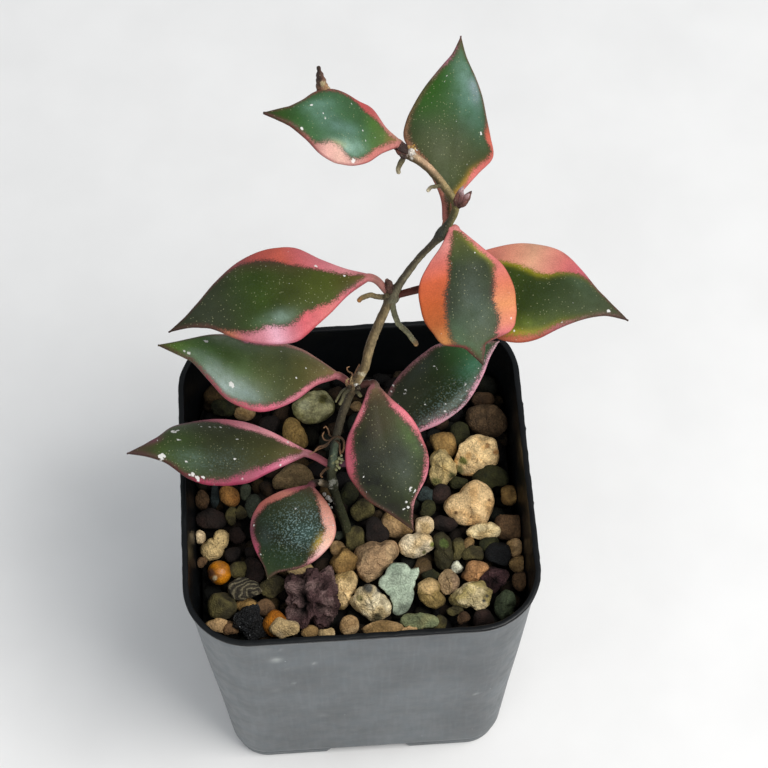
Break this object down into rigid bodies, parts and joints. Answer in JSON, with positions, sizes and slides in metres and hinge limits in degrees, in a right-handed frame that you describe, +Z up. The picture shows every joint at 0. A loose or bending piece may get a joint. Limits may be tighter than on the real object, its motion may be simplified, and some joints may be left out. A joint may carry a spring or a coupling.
{
  "type": "potted hoya plant",
  "caption": "Young wax plant with pointed, pink-edged leaves in pairs on a thin leaning stem, growing in mixed gravel in a square black plastic nursery pot.",
  "frame": {"origin": "on the surface that the pot stands on, under the middle of the whole object's bounding box; the pot's axis stands 3.6 mm towards -X and 10.5 mm towards -Y of it, because the plant leans back", "axes": "+Z up; the front of the pot faces -Y; +X to the right seen from the front"},
  "size_m": [0.1014, 0.0961, 0.1729],
  "materials": {
    "pot_plastic": "satin black with a dusty grey sheen and fine scratches",
    "gravel_mixed": "matt, dusty",
    "stone_tan": "matt, pitted",
    "stone_cream": "matt",
    "stone_brown": "matt",
    "stone_green": "matt",
    "stone_lava": "matt, full of pores",
    "charcoal": "matt, crumbly",
    "plant_food": "smooth coated ball",
    "stem_bark": "dull, finely furrowed",
    "leaf": "waxy, pink towards the margin"
  },
  "bodies": {
    "root": {"pot": "pot_plastic", "gravel_bed": "gravel_mixed", "stone_tan_large": "stone_tan", "stone_tan_mossy": "stone_tan", "stone_tan_angular": "stone_tan", "stone_tan_flat": "stone_tan", "stone_pale_front": "stone_tan", "stone_grey_brown": "stone_brown", "stone_cream_angular": "stone_cream", "stone_green_flake": "stone_green", "stone_lava": "stone_lava", "stone_tan_upright": "stone_tan", "stone_orange_ball": "plant_food", "stone_tan_left": "stone_tan", "stone_striped": "stone_brown", "stone_charcoal": "charcoal", "stone_tan_round": "stone_tan", "stone_tan_right": "stone_tan", "stone_grey_small": "stone_brown", "stone_cream_wide": "stone_cream", "stone_orange_brown": "stone_tan", "stone_purple": "stone_lava", "stone_green": "stone_green", "stone_olive": "stone_green", "stone_brown_back": "stone_brown", "stone_orange_tan": "stone_tan", "stone_ochre": "stone_tan", "stone_green_tan": "stone_green", "stone_brown_shade": "stone_brown", "stem": "stem_bark", "leaf_tip_left": "leaf", "leaf_crown_back": "leaf", "leaf_crown_front": "leaf", "leaf_upper_left": "leaf", "leaf_upper_right": "leaf", "leaf_middle_left": "leaf", "leaf_middle_front": "leaf", "leaf_lower_left": "leaf", "leaf_lower_right": "leaf", "leaf_lowest": "leaf"}
  },
  "joints": []
}
